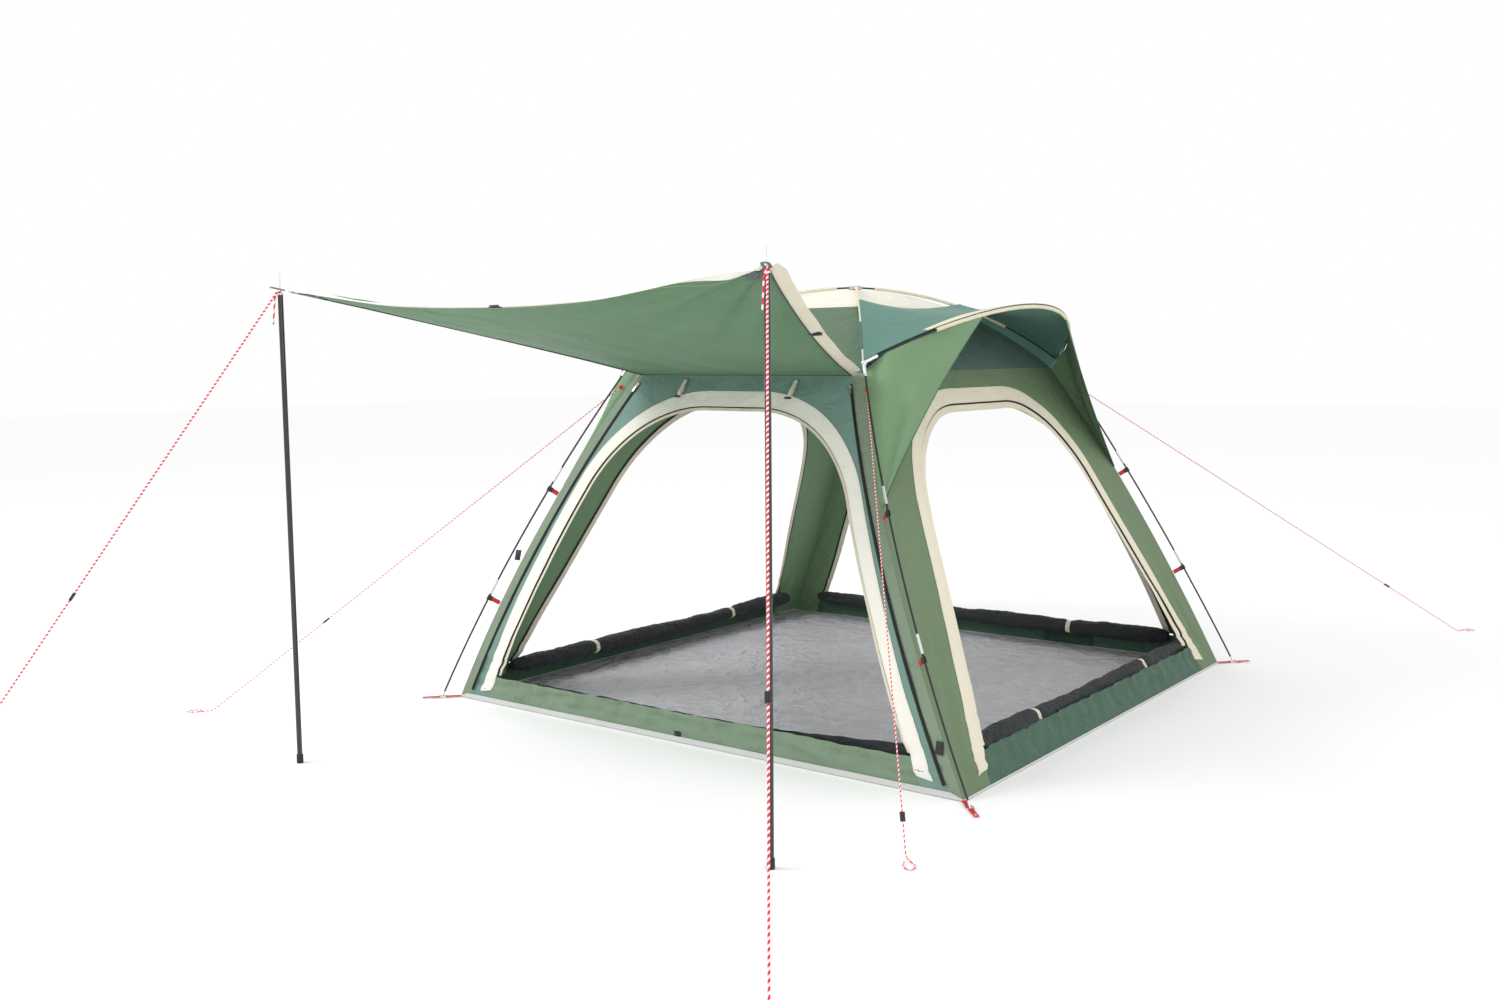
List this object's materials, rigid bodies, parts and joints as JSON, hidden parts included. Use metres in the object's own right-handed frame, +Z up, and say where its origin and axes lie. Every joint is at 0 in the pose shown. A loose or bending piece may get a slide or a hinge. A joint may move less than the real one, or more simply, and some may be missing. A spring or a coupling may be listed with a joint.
{
  "type": "frame tent with awning on poles",
  "caption": "Family frame tent with arched doors on every side, two visors and a front awning held up on poles with guy ropes.",
  "frame": {"origin": "middle of the floor, at the underside of the groundsheet", "axes": "+Z up, -Y towards the awning, +X to the right seen from the awning side"},
  "size_m": [4.7361, 7.1596, 2.081],
  "materials": {
    "green_cloth": "woven polyester, soft sheen",
    "teal_cloth": "woven polyester, soft sheen",
    "cream_cloth": "woven polyester",
    "grey_groundsheet": "coated woven sheet, fine crinkles",
    "black_glass_fibre": "satin",
    "silver_metal": "satin",
    "grey_plastic": "moulded",
    "black_steel": "powder coated, satin",
    "black_plastic": "moulded",
    "red_webbing": "ribbed webbing",
    "grey_webbing": "ribbed webbing",
    "black_zip": "zip tape",
    "black_mesh": "fine mesh, rolled",
    "red_white_cord": "braided, red and white flecks",
    "white_elastic": "braided elastic"
  },
  "bodies": {
    "root": {"awning_pole_foot_caps": "black_plastic", "awning_pole_lower_sections": "black_steel", "awning_pole_middle_sections": "black_steel", "awning_pole_shock_cords": "white_elastic", "awning_pole_spikes": "silver_metal", "awning_pole_upper_sections": "black_steel", "awning_rope_left": "red_white_cord", "awning_rope_right": "red_white_cord", "back_wall": "green_cloth", "clip_straps": "red_webbing", "corner_hubs": "grey_plastic", "corner_rings": "silver_metal", "corner_webbings": "red_webbing", "crown_joint": "grey_plastic", "door_trims": "cream_cloth", "front_wall": "green_cloth", "front_zip_tapes": "black_zip", "groundsheet": "grey_groundsheet", "guy_rope_back_right": "red_white_cord", "guy_rope_front_left": "red_white_cord", "guy_rope_front_right": "red_white_cord", "guy_tabs": "red_webbing", "left_wall": "green_cloth", "leg_clips": "black_plastic", "leg_end_pins": "silver_metal", "leg_ferrules": "silver_metal", "leg_poles": "black_glass_fibre", "mesh_pocket": "black_mesh", "mesh_roll_ties": "cream_cloth", "mesh_rolls": "black_mesh", "pole_sleeves": "cream_cloth", "right_wall": "green_cloth", "roof_cap": "cream_cloth", "roof_panels": "green_cloth", "roof_poles": "black_glass_fibre", "rope_knots": "red_white_cord", "toggle_stitch_bars": "black_zip", "visor_gussets": "green_cloth", "visor_left": "teal_cloth", "visor_poles": "black_glass_fibre", "visor_right": "teal_cloth"},
    "awning": {"awning_panel": "green_cloth", "awning_eyes": "grey_webbing", "awning_bindings": "cream_cloth"},
    "awning_tensioner_left": {"awning_tensioner_left": "black_plastic"},
    "awning_tensioner_right": {"awning_tensioner_right": "black_plastic"},
    "front_zip_pull_left": {"front_zip_pull_left": "silver_metal"},
    "front_zip_pull_right": {"front_zip_pull_right": "silver_metal"},
    "front_zip_slider_left": {"front_zip_slider_left": "silver_metal"},
    "front_zip_slider_right": {"front_zip_slider_right": "silver_metal"},
    "guy_tensioner_back_right": {"guy_tensioner_back_right": "black_plastic"},
    "guy_tensioner_front_left": {"guy_tensioner_front_left": "black_plastic"},
    "guy_tensioner_front_right": {"guy_tensioner_front_right": "black_plastic"},
    "peg_loop_back_left": {"peg_loop_back_left": "red_webbing"},
    "peg_loop_back_right": {"peg_loop_back_right": "red_webbing"},
    "peg_loop_front_left": {"peg_loop_front_left": "red_webbing"},
    "peg_loop_front_right": {"peg_loop_front_right": "red_webbing"},
    "toggle_left": {"toggle_left": "cream_cloth"},
    "toggle_right": {"toggle_right": "cream_cloth"}
  },
  "joints": [
    {"name": "awning_lift", "type": "hinge", "parent": "root", "child": "awning", "pos_m": [0, -0.976, 1.63], "axis": [-1, 0, 0], "range_deg": [0, 25]},
    {"name": "front_zip_left", "type": "hinge", "parent": "root", "child": "front_zip_slider_left", "pos_m": [-1.48994, 2.96869, -0.24059], "axis": [0.9022, 0, -0.4312], "range_deg": [0, 22.3]},
    {"name": "front_zip_right", "type": "hinge", "parent": "root", "child": "front_zip_slider_right", "pos_m": [1.48994, 2.96869, -0.24059], "axis": [0.9022, 0, 0.4312], "range_deg": [0, 22.3]},
    {"name": "front_zip_pull_swing_left", "type": "hinge", "parent": "front_zip_slider_left", "child": "front_zip_pull_left", "pos_m": [-0.61857, -1.01093, 1.58244], "axis": [-0.9022, 0, 0.4312], "range_deg": [0, 150]},
    {"name": "front_zip_pull_swing_right", "type": "hinge", "parent": "front_zip_slider_right", "child": "front_zip_pull_right", "pos_m": [0.61857, -1.01093, 1.58244], "axis": [-0.9022, 0, -0.4312], "range_deg": [0, 150]},
    {"name": "toggle_swing_left", "type": "hinge", "parent": "root", "child": "toggle_left", "pos_m": [-0.322, -0.99087, 1.606], "axis": [-1, 0, 0], "range_deg": [0, 60]},
    {"name": "toggle_swing_right", "type": "hinge", "parent": "root", "child": "toggle_right", "pos_m": [0.322, -0.99087, 1.606], "axis": [-1, 0, 0], "range_deg": [0, 60]},
    {"name": "peg_loop_swing_front_left", "type": "hinge", "parent": "root", "child": "peg_loop_front_left", "pos_m": [-1.51153, -1.55249, 0.0052], "axis": [-0.7348, 0.6783, 0], "range_deg": [0, 90]},
    {"name": "peg_loop_swing_front_right", "type": "hinge", "parent": "root", "child": "peg_loop_front_right", "pos_m": [1.51153, -1.55249, 0.0052], "axis": [-0.7348, -0.6783, 0], "range_deg": [0, 90]},
    {"name": "peg_loop_swing_back_left", "type": "hinge", "parent": "root", "child": "peg_loop_back_left", "pos_m": [-1.51153, 1.55249, 0.0052], "axis": [0.7348, 0.6783, 0], "range_deg": [0, 90]},
    {"name": "peg_loop_swing_back_right", "type": "hinge", "parent": "root", "child": "peg_loop_back_right", "pos_m": [1.51153, 1.55249, 0.0052], "axis": [0.7348, -0.6783, 0], "range_deg": [0, 90]},
    {"name": "guy_tensioner_slide_front_left", "type": "slide", "parent": "root", "child": "guy_tensioner_front_left", "axis": [-0.5863, -0.5307, -0.6121], "range_m": [-0.8, 0.4]},
    {"name": "guy_tensioner_slide_front_right", "type": "slide", "parent": "root", "child": "guy_tensioner_front_right", "axis": [0.4053, -0.5239, -0.7492], "range_m": [-0.8, 0.06]},
    {"name": "guy_tensioner_slide_back_right", "type": "slide", "parent": "root", "child": "guy_tensioner_back_right", "axis": [0.5176, 0.6936, -0.501], "range_m": [-1, 0.35]},
    {"name": "awning_tensioner_slide_left", "type": "slide", "parent": "root", "child": "awning_tensioner_left", "axis": [-0.3614, -0.4347, -0.8249], "range_m": [-0.6, 0.6]},
    {"name": "awning_tensioner_slide_right", "type": "slide", "parent": "root", "child": "awning_tensioner_right", "axis": [0.2822, -0.391, -0.8761], "range_m": [-0.6, 0.6]}
  ]
}
